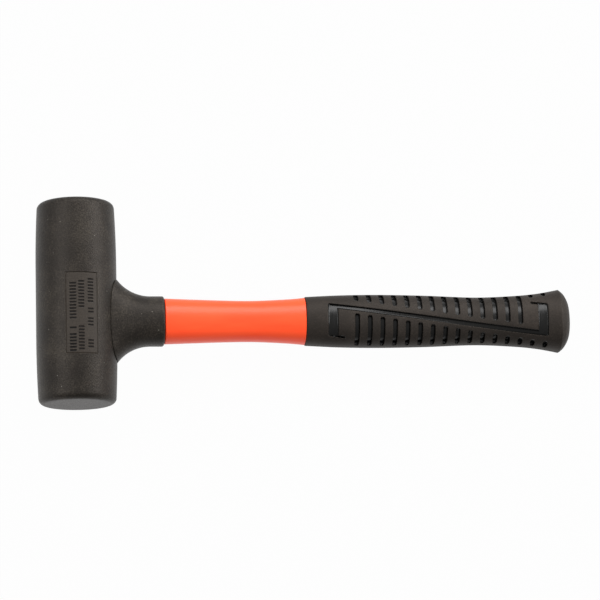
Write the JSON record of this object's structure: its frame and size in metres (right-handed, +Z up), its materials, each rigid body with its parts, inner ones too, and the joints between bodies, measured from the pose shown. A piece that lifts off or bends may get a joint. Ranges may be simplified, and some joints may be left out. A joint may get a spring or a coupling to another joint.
{
  "type": "dead blow mallet",
  "caption": "Dead blow mallet: a barrel head with a sliding shot charge inside, on an oval jacketed handle with a slotted rubber grip, lying on its side.",
  "frame": {"origin": "on the bench, under the middle of the box round the whole mallet", "axes": "+X along the handle from the head to the butt, +Y along the head's striking axis, +Z up, away from the bench the mallet lies on"},
  "size_m": [0.357, 0.135, 0.0532],
  "materials": {
    "cast_polyurethane": "satin with a fine speckle",
    "grip_rubber": "fine matte grain",
    "orange_nylon": "satin gloss",
    "drawn_steel": "drawn",
    "hardened_steel": "bright",
    "glass_fibre": "pultruded rod, slightly glossy"
  },
  "bodies": {
    "mallet": {"head_shell": "cast_polyurethane", "canister_tube": "drawn_steel", "canister_cap_top": "drawn_steel", "canister_cap_bottom": "drawn_steel", "handle_socket": "drawn_steel", "socket_pin": "hardened_steel", "core_rod": "glass_fibre", "handle_jacket": "orange_nylon", "grip": "grip_rubber"},
    "shot_charge": {"shot_01": "hardened_steel", "shot_02": "hardened_steel", "shot_03": "hardened_steel", "shot_04": "hardened_steel", "shot_05": "hardened_steel", "shot_06": "hardened_steel", "shot_07": "hardened_steel", "shot_08": "hardened_steel", "shot_09": "hardened_steel", "shot_10": "hardened_steel", "shot_11": "hardened_steel", "shot_12": "hardened_steel", "shot_13": "hardened_steel", "shot_14": "hardened_steel", "shot_15": "hardened_steel", "shot_16": "hardened_steel", "shot_17": "hardened_steel", "shot_18": "hardened_steel", "shot_19": "hardened_steel", "shot_20": "hardened_steel", "shot_21": "hardened_steel", "shot_22": "hardened_steel", "shot_23": "hardened_steel", "shot_24": "hardened_steel", "shot_25": "hardened_steel", "shot_26": "hardened_steel", "shot_27": "hardened_steel", "shot_28": "hardened_steel", "shot_29": "hardened_steel", "shot_30": "hardened_steel", "shot_31": "hardened_steel", "shot_32": "hardened_steel", "shot_33": "hardened_steel", "shot_34": "hardened_steel", "shot_35": "hardened_steel", "shot_36": "hardened_steel", "shot_37": "hardened_steel", "shot_38": "hardened_steel", "shot_39": "hardened_steel", "shot_40": "hardened_steel", "shot_41": "hardened_steel", "shot_42": "hardened_steel"}
  },
  "joints": [
    {"name": "shot_slide", "type": "slide", "parent": "mallet", "child": "shot_charge", "axis": [0, 1, 0], "range_m": [-0.016, 0.016]}
  ]
}
